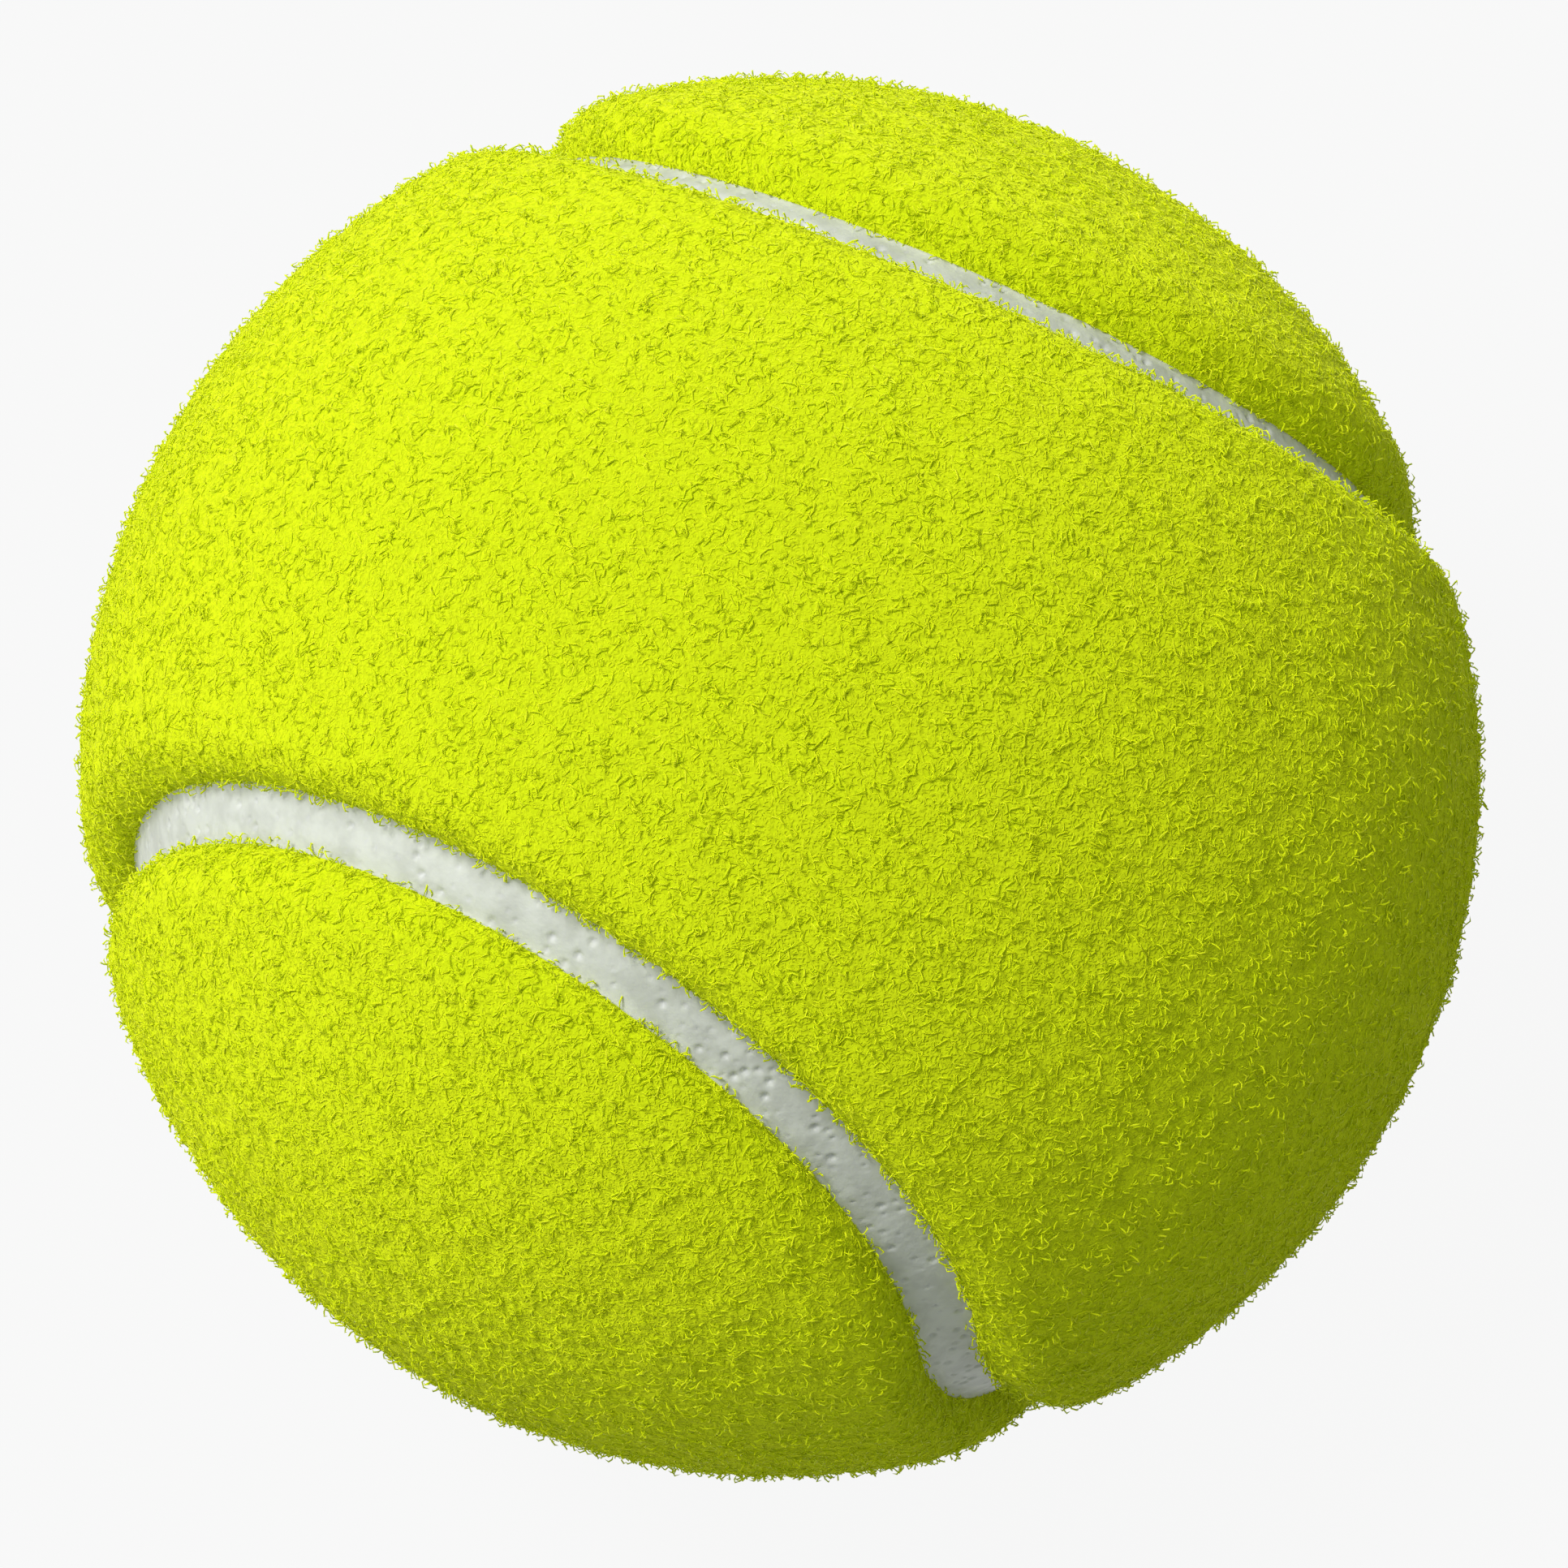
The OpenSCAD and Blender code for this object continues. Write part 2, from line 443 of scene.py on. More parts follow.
def fibre_roots(tree, size, edge):
    """Scatters the roots of the fibres over the body and gives each its own numbers."""
    grows = add_node(
        tree,
        "FunctionNodeCompare",
        {0: attribute(tree, "grows"), 1: 0.5},
        data_type="FLOAT",
        operation="GREATER_THAN",
    )
    crowd = maths(tree, "ADD", 1.0, maths(tree, "MULTIPLY", edge, size["Edge Crowd"]))
    scatter = add_node(
        tree,
        "GeometryNodeDistributePointsOnFaces",
        {
            "Mesh": size["Geometry"],
            "Selection": grows.outputs[0],
            "Density": maths(tree, "MULTIPLY", crowd, size["Density"]),
            "Seed": size["Seed"],
        },
    )
    normal = scatter.outputs["Normal"]
    anyway = random_value(tree, 1, (-1.0,) * 3, (1.0,) * 3, "FLOAT_VECTOR")
    along = vectors(tree, "NORMALIZE", vectors(tree, "CROSS_PRODUCT", normal, anyway))
    side = vectors(tree, "CROSS_PRODUCT", normal, along)
    turn_sign = maths(tree, "SIGN", random_value(tree, 2, -1.0, 1.0))
    turn = random_value(tree, 3, LEAST_CURL, size["Curl"])
    more = maths(tree, "MULTIPLY", edge, MORE_STAND_AT_EDGE)
    upright_share = maths(tree, "ADD", size["Standing"], more)
    standing = maths(tree, "LESS_THAN", random_value(tree, 9, 0.0, 1.0), upright_share)
    shortest = maths(tree, "MULTIPLY", size["Length"], LEAST_LENGTH)
    run = random_value(tree, 4, shortest, size["Length"])
    pull = maths(tree, "SUBTRACT", 1.0, maths(tree, "MULTIPLY", standing, STANDING_PULL))
    lowest = maths(tree, "MULTIPLY", size["Rise"], LEAST_RISE)
    rise = maths(tree, "POWER", random_value(tree, 5, 0.0, 1.0), LOW_BIAS)
    rise = maths(tree, "ADD", lowest, maths(tree, "MULTIPLY", size["Rise"], rise))
    numbers = {
        "turn": maths(tree, "MULTIPLY", turn_sign, turn),
        "standing": standing,
        "reach": maths(tree, "MULTIPLY", run, pull),
        "rise": rise,
        "phase": random_value(tree, 6, 0.0, 2 * math.pi),
        "waves": random_value(tree, 7, LEAST_WAVES, MOST_WAVES),
        "girth": random_value(tree, 8, LEAST_GIRTH, 1.0),
    }
    points = stored(tree, scatter.outputs["Points"], "along", along, "FLOAT_VECTOR")
    points = stored(tree, points, "side", side, "FLOAT_VECTOR")
    for name, value in numbers.items():
        points = stored(tree, points, name, value)
    number_of = add_node(tree, "GeometryNodeInputIndex").outputs[0]
    return stored(tree, points, "fibre", number_of, "INT")


def fibre_curves(tree, size, roots):
    """A curve for each root, whose points know their share of the way along it."""
    copies = add_node(
        tree,
        "GeometryNodeDuplicateElements",
        {"Geometry": roots, "Amount": size["Points"]},
        domain="POINT",
    )
    step = copies.outputs["Duplicate Index"]
    share = maths(tree, "DIVIDE", step, maths(tree, "SUBTRACT", size["Points"], 1.0))
    strands = stored(tree, copies.outputs["Geometry"], "share", share)
    curves = add_node(
        tree,
        "GeometryNodePointsToCurves",
        {"Points": strands, 1: attribute(tree, "fibre", "INT"), 2: attribute(tree, "share")},
    )
    return curves.outputs[0]


def fibre_path(tree, size, edge):
    """Places of a fibre's points: on an arc with a wobble, over or under the body."""
    body = size["Geometry"]
    share = attribute(tree, "share")
    turn = attribute(tree, "turn")
    swing = maths(tree, "MULTIPLY", turn, maths(tree, "SUBTRACT", share, 0.5))
    bow = maths(tree, "DIVIDE", attribute(tree, "reach"), turn)
    forward = maths(tree, "MULTIPLY", bow, maths(tree, "SINE", swing))
    sideways = maths(
        tree, "MULTIPLY", bow, maths(tree, "SUBTRACT", 1.0, maths(tree, "COSINE", swing))
    )
    wave = maths(tree, "MULTIPLY", share, attribute(tree, "waves"))
    wave = maths(tree, "SINE", maths(tree, "ADD", wave, attribute(tree, "phase")))
    sideways = maths(tree, "ADD", sideways, maths(tree, "MULTIPLY", wave, size["Wobble"]))
    flat = add_node(tree, "GeometryNodeInputPosition").outputs[0]
    for direction, distance in (("along", forward), ("side", sideways)):
        shift = scaled(tree, attribute(tree, direction, "FLOAT_VECTOR"), distance)
        flat = vectors(tree, "ADD", flat, shift)
    nearest = add_node(
        tree, "GeometryNodeProximity", {0: body, "Sample Position": flat}, target_element="FACES"
    )
    sample = add_node(
        tree,
        "GeometryNodeSampleNearestSurface",
        {"Mesh": body, "Sample Position": flat},
        data_type="FLOAT_VECTOR",
    )
    face_normal = add_node(tree, "GeometryNodeInputNormal").outputs[0]
    tree.links.new(face_normal, enabled(sample.inputs, "Value"))
    up = enabled(sample.outputs, "Value")

    arch = maths(tree, "SINE", maths(tree, "MULTIPLY", share, math.pi))
    arch = maths(tree, "POWER", maths(tree, "MAXIMUM", arch, 0.0), ARCH_FULLNESS)
    arch = maths(tree, "MULTIPLY", arch, ramp(tree, wave, -1.0, 1.0, LEAST_ARCH, 1.0))
    lying = maths(tree, "MULTIPLY", attribute(tree, "rise"), arch)
    tall = maths(tree, "SUBTRACT", attribute(tree, "girth"), FLAT_GIRTH)
    tip = maths(tree, "MULTIPLY", maths(tree, "POWER", tall, 2.0), size["Stand"])
    farther = maths(tree, "ADD", 1.0, maths(tree, "MULTIPLY", edge, size["Edge Reach"]))
    tip = maths(tree, "MULTIPLY", tip, farther)
    bent = maths(tree, "SINE", maths(tree, "MULTIPLY", share, STANDING_BEND))
    extra = maths(tree, "SUBTRACT", maths(tree, "MULTIPLY", bent, tip), lying)
    extra = maths(tree, "MULTIPLY", attribute(tree, "standing"), extra)
    height = maths(tree, "SUBTRACT", maths(tree, "ADD", lying, extra), size["Sink"])
    return vectors(tree, "ADD", nearest.outputs["Position"], scaled(tree, up, height))


def fibre_girth(tree):
    """Thickness along a fibre, as a share. It tapers to a point at both ends."""
    middle = maths(tree, "MULTIPLY", attribute(tree, "share"), 2.0)
    middle = maths(tree, "SUBTRACT", middle, 1.0)
    taper = maths(tree, "POWER", maths(tree, "ABSOLUTE", middle), TAPER)
    taper = maths(tree, "MAXIMUM", maths(tree, "SUBTRACT", 1.0, taper), 0.0)
    return maths(tree, "MULTIPLY", taper, attribute(tree, "girth"))


def fibre_tree():
    """Scatters curly fibres over the nap. Most lie along the body and weave in and out
    of it, and the rest stand up and bend over."""
    names = ["Density", "Points", "Length", "Width", "Curl", "Wobble", "Rise", "Sink",
             "Standing", "Stand", "Edge Crowd", "Edge Reach", "Seed", "Finish"]
    tree, size = new_tree("Felt fibres", names)
    edge = attribute(tree, "edge")
    curves = fibre_curves(tree, size, fibre_roots(tree, size, edge))
    laid = add_node(
        tree,
        "GeometryNodeSetPosition",
        {"Geometry": curves, "Position": fibre_path(tree, size, edge)},
    )
    profile = add_node(
        tree,
        "GeometryNodeCurvePrimitiveCircle",
        {"Resolution": 3, "Radius": maths(tree, "MULTIPLY", size["Width"], 0.5)},
        mode="RADIUS",
    )
    solid = add_node(
        tree,
        "GeometryNodeCurveToMesh",
        {
            "Curve": laid.outputs[0],
            "Profile Curve": profile.outputs[0],
            "Scale": fibre_girth(tree),
        },
    )
    closed = add_node(
        tree, "GeometryNodeMergeByDistance", {"Geometry": solid.outputs[0], "Distance": TIP_JOIN}
    )
    smooth = add_node(tree, "GeometryNodeSetShadeSmooth", {"Geometry": closed.outputs[0]})
    close_tree(tree, smooth.outputs[0], size["Finish"])
    return tree


# The most pits that are tried on a square metre, and how the pits differ: a higher bias
# makes more of them small, and the smallest is this share of the largest
MOST_PITS = 1.6e6
SMALL_BIAS = 1.4
LEAST_PIT = 0.45
# Shares of a pit's radius at which its floor ends and its rim runs out
PIT_FLOOR, PIT_RIM = 0.15, 1.1
WAVES_PER_METRE = 420.0


def pit_tree():
    """Presses round pits of several sizes into the top of the seam rubber."""
    names = ["Pit Spacing", "Pit Width", "Pit Depth", "Wave", "Seed", "Finish"]
    tree, size = new_tree("Seam pits", names)
    band = size["Geometry"]
    top = attribute(tree, "top")
    scatter = add_node(
        tree,
        "GeometryNodeDistributePointsOnFaces",
        {
            "Mesh": band,
            "Distance Min": size["Pit Spacing"],
            "Density Max": MOST_PITS,
            "Density Factor": top,
            "Seed": size["Seed"],
        },
        distribute_method="POISSON",
    )
    girth = maths(tree, "POWER", random_value(tree, 5, 0.0, 1.0), SMALL_BIAS)
    girth = ramp(tree, girth, 0.0, 1.0, LEAST_PIT, 1.0)
    pits = stored(tree, scatter.outputs["Points"], "girth", girth)
    place = add_node(tree, "GeometryNodeInputPosition").outputs[0]
    nearest = add_node(tree, "GeometryNodeSampleNearest", {"Geometry": pits, 1: place})

    def at_pit(value, data_type):
        """A value of the nearest pit."""
        node = add_node(
            tree,
            "GeometryNodeSampleIndex",
            {"Geometry": pits, "Index": nearest.outputs[0]},
            data_type=data_type,
            domain="POINT",
        )
        tree.links.new(value, enabled(node.inputs, "Value"))
        return enabled(node.outputs, "Value")

    centre = at_pit(add_node(tree, "GeometryNodeInputPosition").outputs[0], "FLOAT_VECTOR")
    share = at_pit(attribute(tree, "girth"), "FLOAT")
    away = add_node(
        tree, "ShaderNodeVectorMath", {0: place, 1: centre}, operation="DISTANCE"
    ).outputs["Value"]
    half = maths(tree, "MULTIPLY", maths(tree, "MULTIPLY", size["Pit Width"], 0.5), share)
    bowl = ramp(tree, maths(tree, "DIVIDE", away, half), PIT_FLOOR, PIT_RIM, 1.0, 0.0)
    depth = maths(tree, "MULTIPLY", maths(tree, "MULTIPLY", bowl, share), size["Pit Depth"])
    noise = add_node(
        tree, "ShaderNodeTexNoise", {"Vector": place, "Scale": WAVES_PER_METRE, "Detail": 1.0}
    )
    wave = maths(tree, "MULTIPLY", maths(tree, "SUBTRACT", noise.outputs[0], 0.5), 2.0)
    height = maths(tree, "SUBTRACT", maths(tree, "MULTIPLY", wave, size["Wave"]), depth)
    height = maths(tree, "MULTIPLY", height, top)
    normal = add_node(tree, "GeometryNodeInputNormal").outputs[0]
    moved = add_node(
        tree,
        "GeometryNodeSetPosition",
        {"Geometry": band, "Offset": scaled(tree, normal, height)},
    )
    close_tree(tree, moved.outputs[0], size["Finish"])
    return tree


# ---- Finishes ----


def new_finish(name, colour_value, roughness, **settings):
    """A material with its shader's plain values set."""
    finish = bpy.data.materials.new(name)
    finish.use_nodes = True
    shader = finish.node_tree.nodes["Principled BSDF"]
    shader.inputs["Base Color"].default_value = (*colour_value, 1.0)
    shader.inputs["Roughness"].default_value = roughness
    for key, value in settings.items():
        shader.inputs[key.replace("_", " ")].default_value = value
    return finish, finish.node_tree, shader


def wool_finish(name, colour_value, roughness):
    """A matt finish that spreads light evenly, as wool does."""
    return new_finish(
        name, colour_value, roughness, Specular_IOR_Level=0.15, Diffuse_Roughness=1.0
    )


def object_place(tree):
    return add_node(tree, "ShaderNodeTexCoord").outputs["Object"]


def cloud(tree, place, size, detail=3.0, **settings):
    """Noise whose clouds lie about one size apart."""
    return add_node(
        tree, "ShaderNodeTexNoise", {"Vector": place, "Scale": 1 / size, "Detail": detail},
        **settings
    ).outputs[0]


def between(tree, fraction, first, second):
    """Colour between two colours, or between a colour's socket and a colour."""
    ends = [end if isinstance(end, bpy.types.NodeSocket) else (*end, 1.0)
            for end in (first, second)]
    mix = add_node(
        tree, "ShaderNodeMix", {0: fraction, 6: ends[0], 7: ends[1]}, data_type="RGBA"
    )
    return mix.outputs[2]


def two_tone(tree, shader, fraction, first, second):
    """Colours the shader between two colours by a fraction."""
    tree.links.new(between(tree, fraction, first, second), shader.inputs["Base Color"])


def bump(tree, shader, heights):
    """Adds heights, each with the distance between its lowest and highest, in metres."""
    normal = None
    for height, distance in heights:
        inputs = {"Height": height, "Distance": distance, "Strength": 1.0}
        if normal:
            inputs["Normal"] = normal
        normal = add_node(tree, "ShaderNodeBump", inputs).outputs[0]
    tree.links.new(normal, shader.inputs["Normal"])


def felt_finish(colours):
    """Matted wool: strands as ridges of noise, with painted shade darkening the nap between them,
    and small holes darkened by painted shade too.
    """
    strand_sizes = (0.00042, 0.00036, 0.0005)
    strand_width = 0.09
    # Size and mask levels of the small holes that painted shade colours darker
    pore_size, pore_levels = 0.00026, (0.29, 0.4)
    swell_size = 0.0006
    swell_height, strand_height = 0.0001, 0.00006
    finish, tree, shader = wool_finish("felt_nap", colours.felt, 0.9)
    place = object_place(tree)
    strands = None
    for layer, size in enumerate(strand_sizes):
        shifted = vectors(tree, "ADD", place, (0.01 * layer, 0.02 * layer, 0.03 * layer))
        away = maths(tree, "SUBTRACT", cloud(tree, shifted, size, 1.0), 0.5)
        strand = ramp(tree, maths(tree, "ABSOLUTE", away), 0.0, strand_width, 1.0, 0.0)
        strands = maths(tree, "MAXIMUM", strands, strand) if strands else strand
    # Painted shade: the nap is coloured darker between the strands, where they would shade it
    matted = between(tree, strands, colours.felt_shade_between_strands, colours.felt)
    # Painted shade: small holes in the nap are coloured darker, as if shaded
    pore_shade_mask = ramp(tree, cloud(tree, place, pore_size, 1.0), *pore_levels, 1.0, 0.0)
    two_tone(tree, shader, pore_shade_mask, matted, colours.felt_pore_shade)
    swell = cloud(tree, place, swell_size, 2.0)
    bump(tree, shader, [(swell, swell_height), (strands, strand_height)])
    return finish


def rubber_finish(colours):
    """Pale satin rubber with faint clouds and a grain as of moulding powder."""
    cloud_size, cloud_levels = 0.0013, (0.4, 0.66)
    grain, depth = 0.0005, 0.00006
    finish, tree, shader = new_finish(
        "seam_rubber", colours.rubber, 0.46, Specular_IOR_Level=0.4
    )
    place = object_place(tree)
    clouds = ramp(tree, cloud(tree, place, cloud_size), *cloud_levels)
    two_tone(tree, shader, clouds, colours.rubber, colours.rubber_shade)
    bump(tree, shader, [(cloud(tree, place, grain), depth)])
    return finish


def grained_finish(name, light, dark, roughness, grain, depth):
    """A hidden rubber or cement with its own grain and clouds."""
    cloud_size, cloud_levels = 8 * grain, (0.3, 0.7)
    finish, tree, shader = new_finish(name, light, roughness)
    place = object_place(tree)
    clouds = ramp(tree, cloud(tree, place, cloud_size), *cloud_levels)
    two_tone(tree, shader, clouds, light, dark)
    bump(tree, shader, [(cloud(tree, place, grain), depth)])
    return finish


def woven_finish(name, thread, gap, pitch):
    """Cloth of two sets of threads that cross."""
    thread_height = 0.0002
    finish, tree, shader = new_finish(name, thread, 0.85)
    place = object_place(tree)
    bands = [
        add_node(
            tree, "ShaderNodeTexWave", {"Vector": place, "Scale": 0.1 / pitch, "Distortion": 0.6},
            bands_direction=axis
        ).outputs["Fac"]
        for axis in ("X", "Y", "Z")
    ]
    weave = maths(tree, "MULTIPLY", bands[0], maths(tree, "MAXIMUM", bands[1], bands[2]))
    two_tone(tree, shader, weave, gap, thread)
    bump(tree, shader, [(weave, thread_height)])
    return finish


# ---- Operators ----


class BALL_OT_inner_finishes(bpy.types.Operator):
    """Give the pieces under the nap their rubber, cement and cloth"""

    bl_idname = "tennis_ball.inner_finishes"
    bl_label = "Inner Finishes"

    def execute(self, context):
        core = grained_finish(
            "core_rubber",
            (0.045, 0.04, 0.038),
            (0.03, 0.027, 0.026),
            roughness=0.7,
            grain=0.0006,
            depth=0.00005,
        )
        joint = grained_finish(
            "joint_cement",
            (0.46, 0.34, 0.16),
            (0.36, 0.25, 0.11),
            roughness=0.45,
            grain=0.0009,
            depth=0.0001,
        )
        coat = grained_finish(
            "coat_cement",
            (0.27, 0.19, 0.09),
            (0.2, 0.14, 0.06),
            roughness=0.5,
            grain=0.0012,
            depth=0.00008,
        )
        backing = grained_finish(
            "felt_backing",
            (0.71, 0.67, 0.5),
            (0.62, 0.57, 0.4),
            roughness=0.6,
            grain=0.0008,
            depth=0.00006,
        )
        cloth = woven_finish("base_cloth", (0.6, 0.7, 0.08), (0.4, 0.5, 0.04), pitch=0.0006)
        finishes = {
            "upper_half_shell": core,
            "lower_half_shell": core,
            "shell_joint_cement": joint,
            "core_cement_coat": coat,
            "panel_a_backing": backing,
            "panel_b_backing": backing,
            "panel_a_base_cloth": cloth,
            "panel_b_base_cloth": cloth,
        }
        for node, finish in finishes.items():
            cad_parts[node].data.materials.clear()
            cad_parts[node].data.materials.append(finish)
        return {"FINISHED"}


class BALL_OT_felt_panels(bpy.types.Operator):
    """Build the matted body of the nap of both panels"""

    bl_idname = "tennis_ball.felt_panels"
    bl_label = "Felt Panels"

    def execute(self, context):
        seam, felt = context.scene.ball_seam, context.scene.ball_felt
        corners, faces, nap, edge, grows = felt_body(seam, felt)
        raw = new_piece("nap_body", corners, faces)
        mark(raw.data, "nap", nap, "POINT")
        mark(raw.data, "edge", edge, "POINT")
        mark(raw.data, "grows", grows, "FACE")
        finish = felt_finish(context.scene.ball_colours)
        values = {
            "Lump Size": felt.lump_size,
            "Lump Height": felt.lump_height,
            "Tuft Size": felt.tuft_size,
            "Tuft Height": felt.tuft_height,
            "Finish": finish,
        }
        mesh = settle(raw, lump_tree(), values)
        mesh.name = "panel_a_felt"
        mesh.shade_smooth()
        bpy.data.objects.remove(raw)
        piece = bpy.data.objects.new("panel_a_felt", mesh)
        context.scene.collection.objects.link(piece)
        turned_copy(piece, "panel_b_felt")
        return {"FINISHED"}


# The edge's rows stop short of its top, where the field's rows go on
EDGE_TURN = math.radians(80)
# Rows of faces from the middle line to the edge on the hidden underside
UNDER_ROWS = 6


def edge_profile(felt, gap):
    """Angles from the seam and radii of the nap's rounded edge, from its foot upwards."""
    middle = gap / 2 + felt.edge_width
    foot = gap / 2 - felt.lip
    body_r = BALL_R - felt.depth
    turns = np.linspace(0, EDGE_TURN, felt.edge_rows + 1)
    across = middle - (middle - foot) * np.cos(turns)
    up = SEAM_TOP_R + (body_r - SEAM_TOP_R) * np.sin(turns)
    angles, radii = np.arctan2(across, up), np.hypot(across, up)
    return angles, smooth_cap(radii, body_r, felt.depth)


def smooth_cap(radii, most, blend):
    """Radii that bend over into a highest radius without a crease."""
    over = np.clip(0.5 + (radii - most) / (2 * blend), 0, 1)
    return radii * (1 - over) + most * over - blend * over * (1 - over)


def felt_body(seam, felt):
    """Corners and faces of panel A's nap as a closed shell, with how freely each corner
    may move, how near it is to the edge's foot, and which faces grow fibres. Columns run
    from the middle line under the nap to the panel's edge and back over it."""
    steps = felt.arc_steps
    points, inwards, depths = seam_line(seam.lobe_lean, steps)
    angles, radii = edge_profile(felt, seam.gap)
    body_r = BALL_R - felt.depth
    # The underside keeps just clear of the cloth and the rubber, by shares of the lip
    inner_r = CLOTH_R + felt.lip / 4
    foot_r = SEAM_TOP_R - felt.lip / 2
    wall = seam.gap / 2 + 2 * felt.lip

    def field(first, rows):
        """Angles from the seam of rows from a first angle to the middle line."""
        shares = np.linspace(0, 1, rows + 1)[1:]
        return first + shares[None] * (depths[:, None] - first)

    under_first = math.atan2(wall + 4 * felt.lip, inner_r)
    under = field(under_first, UNDER_ROWS)[:, ::-1]
    over = field(angles[-1], felt.field_rows)
    whole = np.ones((len(points), 1))
    lip_angles = [under_first, math.atan2(wall, foot_r), angles[0]]
    lip_radii = [inner_r, foot_r, foot_r]
    all_angles = np.hstack([under, whole * lip_angles, whole * angles, over])
    column_radii = np.concatenate([
        np.full(UNDER_ROWS, inner_r), lip_radii, radii, np.full(felt.field_rows, body_r)
    ])
    all_radii = whole * column_radii
    grid = over_ball(points, inwards, all_angles, all_radii)
    rows = grid.shape[1]
    columns = len(points)

    # The columns of each lobe end in one point, and those of the waist meet in pairs
    ids = np.arange(columns * rows).reshape(columns, rows)
    for end in (0, rows - 1):
        ids[0, end] = ids[3 * steps, end]
        ids[3 * steps:, end] = ids[3 * steps, end]
        ids[steps:2 * steps + 1, end] = ids[steps, end]
        ids[2 * steps + 1:3 * steps, end] = ids[1:steps, end][::-1]
    used, compact = np.unique(ids, return_inverse=True)
    compact = compact.reshape(ids.shape)
    corners = grid.reshape(-1, 3)[used]
    here, there = compact, np.roll(compact, -1, axis=0)
    quads = np.stack([here[:, :-1], there[:, :-1], there[:, 1:], here[:, 1:]], -1)
    first = UNDER_ROWS + len(lip_radii)
    grows = np.zeros(quads.shape[:2])
    grows[:, first:] = 1
    faces = []
    for quad in quads.reshape(-1, 4).tolist():
        if quad[0] == quad[1]:
            faces.append((quad[1], quad[2], quad[3]))
        elif quad[2] == quad[3]:
            faces.append((quad[0], quad[1], quad[2]))
        else:
            faces.append(tuple(quad))
    freedom = np.zeros((columns, rows))
    freedom[:, first:] = 1
    freedom[:, first:first + felt.edge_rows] = np.linspace(0, 1, felt.edge_rows)
    edge = np.zeros((columns, rows))
    edge[:, first:first + felt.edge_rows] = np.linspace(1, 0, felt.edge_rows)
    return corners, faces, freedom.ravel()[used], edge.ravel()[used], grows.ravel()


class BALL_OT_fibres(bpy.types.Operator):
    """Grow curly fibres of several tones on both panels"""

    bl_idname = "tennis_ball.fibres"
    bl_label = "Felt Fibres"

    def execute(self, context):
        sizes, felt = context.scene.ball_fibres, context.scene.ball_felt
        colours = context.scene.ball_colours
        tones = [
            colours.fibre_1,
            colours.fibre_2,
            colours.fibre_3,
            colours.fibre_4,
            colours.fibre_5,
        ]
        tree = fibre_tree()
        panel = bpy.data.objects["panel_a_felt"]
        pieces = {"a": [], "b": []}
        for tone, tint in enumerate(tones):
            finish = wool_finish(f"fibre_tone_{tone + 1}", tint, 0.5)[0]
            values = {
                "Density": sizes.density,
                "Points": sizes.points,
                "Length": sizes.length,
                "Width": sizes.width,
                "Curl": sizes.curl,
                "Wobble": sizes.wobble,
                "Rise": sizes.rise,
                "Sink": sizes.sink,
                "Standing": sizes.standing,
                "Stand": sizes.stand,
                "Edge Crowd": sizes.edge_crowd,
                "Edge Reach": sizes.edge_reach,
                "Seed": sizes.seed + tone,
                "Finish": finish,
            }
            name = f"panel_a_fibres_{tone + 1}"
            mesh = settle(panel, tree, values)
            mesh.name = name
            drop_marks(mesh)
            piece = bpy.data.objects.new(name, mesh)
            context.scene.collection.objects.link(piece)
            pieces["a"].append(piece)
            pieces["b"].append(turned_copy(piece, f"panel_b_fibres_{tone + 1}"))
        for side, strands in pieces.items():
            body = bpy.data.objects[f"panel_{side}_felt"]
            drop_marks(body.data)
            for piece in [body, *strands]:
                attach(piece, "root")
                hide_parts(f"panel_{side}_nap")
        return {"FINISHED"}


# Rows of points across the top of the seam rubber, how late it rises towards the felt,
# and how its pits and waves fade out there
BAND_ROWS = 26
RISE_POWER = 8
FADE_POWER = 4
FADE_STEEPNESS = 1.25


class BALL_OT_seam_rubber(bpy.types.Operator):
    """Build the pitted band of pale rubber in the seam"""

    bl_idname = "tennis_ball.seam_rubber"
    bl_label = "Seam Rubber"

    def execute(self, context):
        seam = context.scene.ball_seam
        points, inwards, _ = seam_line(seam.lobe_lean, seam.arc_steps)
        half = seam.gap / 2
        across = np.linspace(-1, 1, BAND_ROWS)
        rise = seam.fillet * np.abs(across) ** RISE_POWER
        top = np.arctan(across * half / SEAM_TOP_R)
        floor = np.arctan(np.array([1, 0.5, 0, -0.5, -1]) * half / SEAM_FLOOR_R)
        angles = np.concatenate([top, floor])
        radii = np.concatenate([SEAM_TOP_R + rise, np.full(len(floor), SEAM_FLOOR_R)])
        whole = np.ones((len(points), 1))
        grid = over_ball(points, inwards, whole * angles, whole * radii)
        columns, rows = grid.shape[:2]
        here = np.arange(columns * rows).reshape(columns, rows)
        there = np.roll(here, -1, axis=0)
        quads = np.stack(
            [here, there, np.roll(there, -1, axis=1), np.roll(here, -1, axis=1)], -1
        )
        raw = new_piece("seam_band", grid.reshape(-1, 3), quads.reshape(-1, 4).tolist())
        fade = np.abs(across) ** FADE_POWER * FADE_STEEPNESS
        soft_edge = np.clip(FADE_STEEPNESS - fade, 0, 1)
        freedom = np.concatenate([soft_edge, np.zeros(len(floor))])
        mark(raw.data, "top", whole * freedom, "POINT")
        values = {
            "Pit Spacing": seam.pit_spacing,
            "Pit Width": seam.pit_width,
            "Pit Depth": seam.pit_depth,
            "Wave": seam.wave,
            "Seed": seam.pit_seed,
            "Finish": rubber_finish(context.scene.ball_colours),
        }
        mesh = settle(raw, pit_tree(), values)
        mesh.name = "seam_rubber_band"
        drop_marks(mesh)
        mesh.shade_smooth()
        bpy.data.objects.remove(raw)
        piece = bpy.data.objects.new("seam_rubber_band", mesh)
        context.scene.collection.objects.link(piece)
        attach(piece, "root")
        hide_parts("seam_rubber")
        return {"FINISHED"}


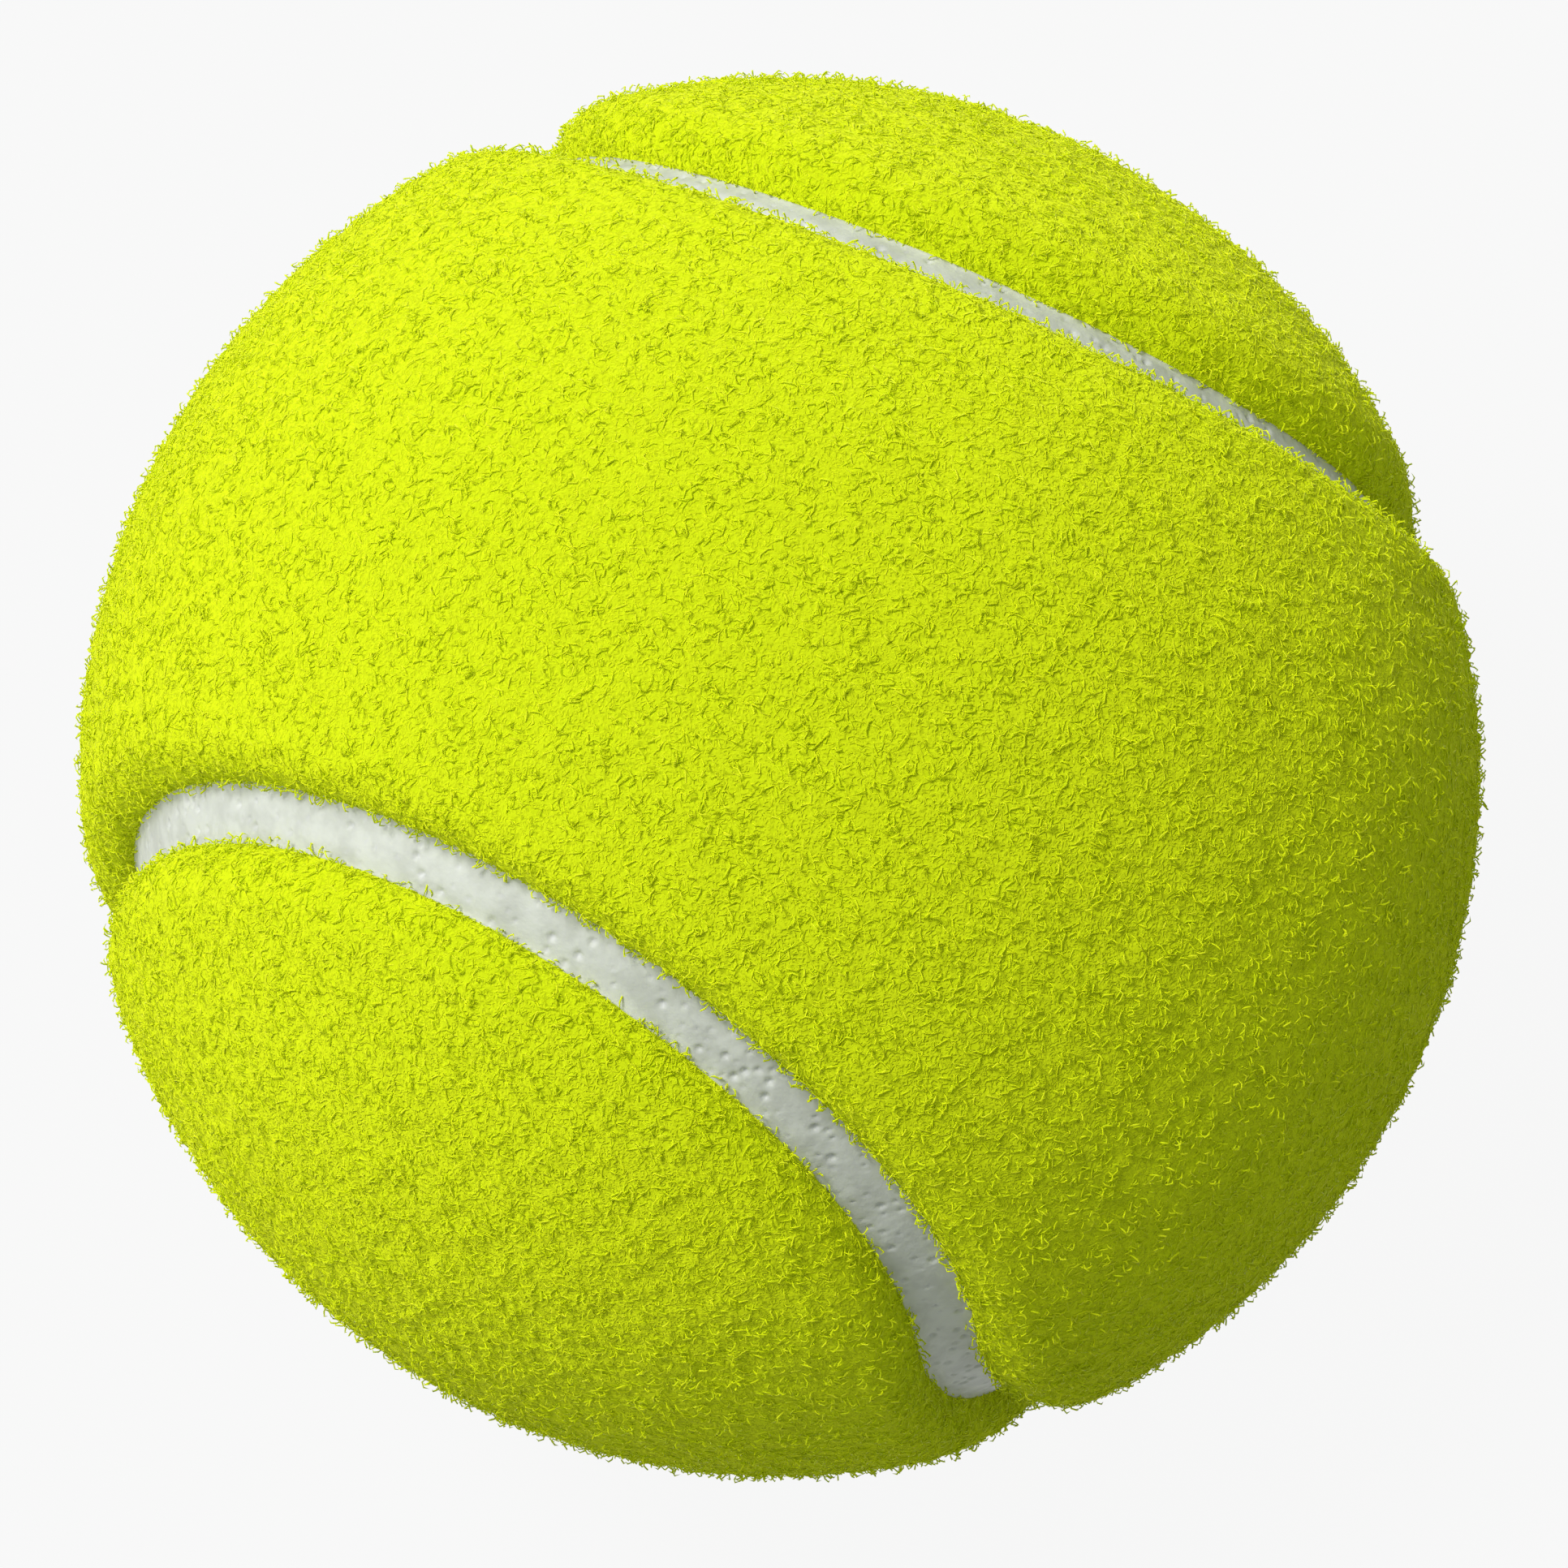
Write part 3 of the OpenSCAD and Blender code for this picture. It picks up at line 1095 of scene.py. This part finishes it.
class BALL_OT_stage(bpy.types.Operator):
    """Set up the camera, the floor and the lights"""

    bl_idname = "tennis_ball.stage"
    bl_label = "Stage"

    def execute(self, context):
        stage = context.scene.ball_stage
        add_camera(context.scene, stage)
        add_floor(stage)
        add_lights(context.scene, stage)
        context.scene.view_settings.view_transform = "Standard"
        return {"FINISHED"}


# The camera's axes in the ball's frame, and how far the ball stands off the middle of
# the picture, as shares of the distance
CAMERA_RIGHT = Vector((0.8132, 0.4701, -0.3431))
CAMERA_UP = Vector((-0.3085, 0.8481, 0.4308))
CAMERA_BACK = Vector((0.4935, -0.2445, 0.8347))
OFF_RIGHT_SHARE = 0.00059
OFF_UP_SHARE = 0.00104
SENSOR_WIDTH = 36
CLIP_START = 0.01
# Directions from the ball to the lamps
KEY_FROM = Vector((-0.09, -0.03, 0.99))
BACK_FROM = Vector((-0.33, 0.95, 0.05))
SIDE_FROM = Vector((-0.57, -0.68, 0.21))
# The floor as the light meets it, the part of it that shows shadows to the camera, and
# how much that part adds to the floor's own glow where no shadow falls
PAPER = (0.3, 0.3, 0.3, 1.0)
SHADOW_PAPER = (0.02, 0.02, 0.02, 1.0)
SHADOW_PAPER_GLOW = 0.023
ROOM = (0.88, 1.0, 0.92, 1.0)
WHITE = (1.0, 1.0, 1.0, 1.0)


def add_camera(scene, stage):
    data = bpy.data.cameras.new("camera")
    data.lens = stage.lens
    data.sensor_width = SENSOR_WIDTH
    data.clip_start = CLIP_START
    camera = bpy.data.objects.new("camera", data)
    scene.collection.objects.link(camera)
    turn = Matrix((CAMERA_RIGHT, CAMERA_UP, CAMERA_BACK)).transposed()
    place = stage.distance * (
        CAMERA_BACK + OFF_RIGHT_SHARE * CAMERA_RIGHT - OFF_UP_SHARE * CAMERA_UP
    )
    camera.matrix_world = Matrix.LocRotScale(place, turn.to_quaternion(), None)
    scene.camera = camera


def seen_directly(tree):
    """One for rays that show the background itself or mirror it, and nought for light."""
    path = add_node(tree, "ShaderNodeLightPath").outputs
    seen = maths(tree, "MAXIMUM", path["Is Camera Ray"], path["Is Glossy Ray"])
    return maths(tree, "MAXIMUM", seen, path["Is Transmission Ray"])


def add_floor(stage):
    half = stage.floor_size / 2
    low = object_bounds()[0].z
    corners = [(-half, -half, low), (half, -half, low), (half, half, low), (-half, half, low)]
    floor = new_piece("floor", corners, [(0, 1, 2, 3)])
    finish = bpy.data.materials.new("floor_paper")
    finish.use_nodes = True
    tree = finish.node_tree
    tree.nodes.clear()
    paper = add_node(tree, "ShaderNodeBsdfDiffuse", {"Color": PAPER})
    shade = add_node(tree, "ShaderNodeBsdfDiffuse", {"Color": SHADOW_PAPER})
    glow = add_node(
        tree,
        "ShaderNodeEmission",
        {"Color": WHITE, "Strength": stage.background - SHADOW_PAPER_GLOW},
    )
    shown = add_node(tree, "ShaderNodeAddShader", {0: shade.outputs[0], 1: glow.outputs[0]})
    mix = add_node(
        tree,
        "ShaderNodeMixShader",
        {0: seen_directly(tree), 1: paper.outputs[0], 2: shown.outputs[0]},
    )
    add_node(tree, "ShaderNodeOutputMaterial", {"Surface": mix.outputs[0]})
    floor.data.materials.append(finish)
    floor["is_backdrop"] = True


def add_lights(scene, stage):
    world = bpy.data.worlds.new("studio")
    scene.world = world
    world.use_nodes = True
    tree = world.node_tree
    tree.nodes.clear()
    room = add_node(tree, "ShaderNodeBackground", {"Color": ROOM, "Strength": stage.ambient})
    wall = add_node(
        tree, "ShaderNodeBackground", {"Color": WHITE, "Strength": stage.background}
    )
    mix = add_node(
        tree,
        "ShaderNodeMixShader",
        {0: seen_directly(tree), 1: room.outputs[0], 2: wall.outputs[0]},
    )
    add_node(tree, "ShaderNodeOutputWorld", {"Surface": mix.outputs[0]})
    add_lamp(scene, stage, "key_light", KEY_FROM, stage.key)
    add_lamp(scene, stage, "back_light", BACK_FROM, stage.back)
    add_lamp(scene, stage, "side_light", SIDE_FROM, stage.side)


def add_lamp(scene, stage, name, direction, power):
    """A square lamp that faces the ball from a direction."""
    data = bpy.data.lights.new(name, "AREA")
    data.energy = power
    data.size = stage.lamp_size
    lamp = bpy.data.objects.new(name, data)
    scene.collection.objects.link(lamp)
    away = direction.normalized()
    lamp.matrix_world = Matrix.LocRotScale(
        away * stage.lamp_distance, away.to_track_quat("Z", "Y"), None
    )


class BALL_PT_sidebar(bpy.types.Panel):
    """Steps that build the tennis ball, with their sizes and colours"""

    bl_idname = "BALL_PT_sidebar"
    bl_label = "Tennis Ball"
    bl_space_type = "VIEW_3D"
    bl_region_type = "UI"
    bl_category = "Tennis Ball"

    def draw(self, context):
        layout = self.layout
        for name in SETTINGS:
            group = getattr(context.scene, name)
            box = layout.box()
            for key in group.bl_rna.properties.keys():
                if key not in ("rna_type", "name"):
                    box.prop(group, key)
        for step in STEPS:
            layout.operator(step.bl_idname)


SETTINGS = {
    "ball_seam": SeamSizes,
    "ball_felt": FeltSizes,
    "ball_fibres": FibreSizes,
    "ball_colours": FinishColours,
    "ball_stage": StageSettings,
}
STEPS = [
    BALL_OT_inner_finishes,
    BALL_OT_felt_panels,
    BALL_OT_fibres,
    BALL_OT_seam_rubber,
    BALL_OT_stage,
]


def register():
    for name, group in SETTINGS.items():
        bpy.utils.register_class(group)
        setattr(bpy.types.Scene, name, bpy.props.PointerProperty(type=group))
    for step in [*STEPS, BALL_PT_sidebar]:
        bpy.utils.register_class(step)


def unregister():
    for step in [BALL_PT_sidebar, *STEPS]:
        bpy.utils.unregister_class(step)
    for name, group in SETTINGS.items():
        delattr(bpy.types.Scene, name)
        bpy.utils.unregister_class(group)


def main():
    register()
    bpy.ops.tennis_ball.inner_finishes()
    bpy.ops.tennis_ball.felt_panels()
    bpy.ops.tennis_ball.fibres()
    bpy.ops.tennis_ball.seam_rubber()
    bpy.ops.tennis_ball.stage()


if __name__ == "__main__":
    main()
